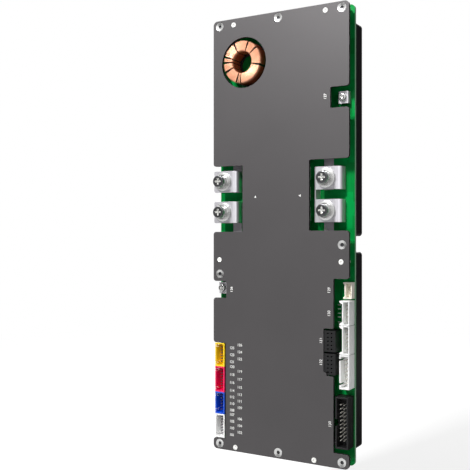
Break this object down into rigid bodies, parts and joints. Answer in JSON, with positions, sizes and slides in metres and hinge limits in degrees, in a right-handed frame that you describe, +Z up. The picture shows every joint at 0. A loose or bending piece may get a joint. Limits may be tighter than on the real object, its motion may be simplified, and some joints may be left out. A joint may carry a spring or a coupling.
{
  "type": "battery management board",
  "caption": "Upright battery management circuit board with a gunmetal front plate, screw power terminals, coloured cell connectors, a ring choke and finned black heatsinks behind.",
  "frame": {"origin": "middle of the overall box: the middle of the front plate's outline, halfway through the depth", "axes": "+X to the right and +Z up as seen from the front, +Y from the front plate towards the heatsinks"},
  "size_m": [0.103, 0.0278, 0.3],
  "materials": {
    "front_plate": "matt gunmetal anodising",
    "circuit_board": "green solder resist over glass laminate",
    "heatsink_black": "black anodised extrusion",
    "thermal_pad": "soft grey filled silicone",
    "steel_fasteners": "bright zinc plated",
    "nickel_pillars": "bright nickel plated",
    "white_nylon": "natural nylon",
    "tinned_copper": "satin tin plating over copper",
    "contact_pins": "bright tin",
    "choke_core": "dark coated powdered iron",
    "enamelled_copper": "glossy enamelled copper wire",
    "black_plastic": "moulded, matt",
    "yellow_plastic": "moulded",
    "red_plastic": "moulded",
    "blue_plastic": "moulded",
    "white_plastic": "moulded",
    "cream_plastic": "moulded",
    "chip_black": "moulded epoxy",
    "shunt_alloy": "plain resistance alloy",
    "capacitor_can": "bright drawn can",
    "coil_ferrite": "pressed ferrite"
  },
  "bodies": {
    "root": {"front_plate": "front_plate", "circuit_board": "circuit_board", "upper_heatsink": "heatsink_black", "lower_heatsink": "heatsink_black", "upper_thermal_pad": "thermal_pad", "lower_thermal_pad": "thermal_pad", "plate_gap_pads": "thermal_pad", "plate_screws": "steel_fasteners", "heatsink_screws": "steel_fasteners", "terminal_screws": "steel_fasteners", "terminal_spring_washers": "steel_fasteners", "terminal_flat_washers": "steel_fasteners", "terminal_nuts": "steel_fasteners", "small_terminal_screws": "steel_fasteners", "small_terminal_nuts": "steel_fasteners", "plate_standoffs": "nickel_pillars", "spacer_pegs": "white_nylon", "left_upper_terminal": "tinned_copper", "left_lower_terminal": "tinned_copper", "right_power_terminal": "tinned_copper", "left_bus_bars": "tinned_copper", "right_bus_bars": "tinned_copper", "battery_sense_terminal": "tinned_copper", "heater_terminal": "tinned_copper", "cell_connector_pins": "contact_pins", "display_connector_pins": "contact_pins", "signal_connector_pins": "contact_pins", "data_header_pins": "contact_pins", "expansion_socket_contacts": "contact_pins", "choke_core": "choke_core", "choke_winding": "enamelled_copper", "choke_base": "black_plastic", "data_header": "black_plastic", "upper_expansion_socket": "black_plastic", "lower_expansion_socket": "black_plastic", "yellow_cell_connector": "yellow_plastic", "red_cell_connector": "red_plastic", "blue_cell_connector": "blue_plastic", "white_cell_connector": "white_plastic", "upper_signal_connector": "white_plastic", "middle_signal_connector": "white_plastic", "lower_signal_connector": "white_plastic", "display_connector": "cream_plastic", "charge_transistors": "chip_black", "discharge_transistors": "chip_black", "main_controller": "chip_black", "cell_monitor_chips": "chip_black", "isolator_chips": "chip_black", "power_supply_chip": "chip_black", "balance_resistors": "chip_black", "current_shunts": "shunt_alloy", "filter_capacitors": "capacitor_can", "power_coil": "coil_ferrite"}
  },
  "joints": []
}
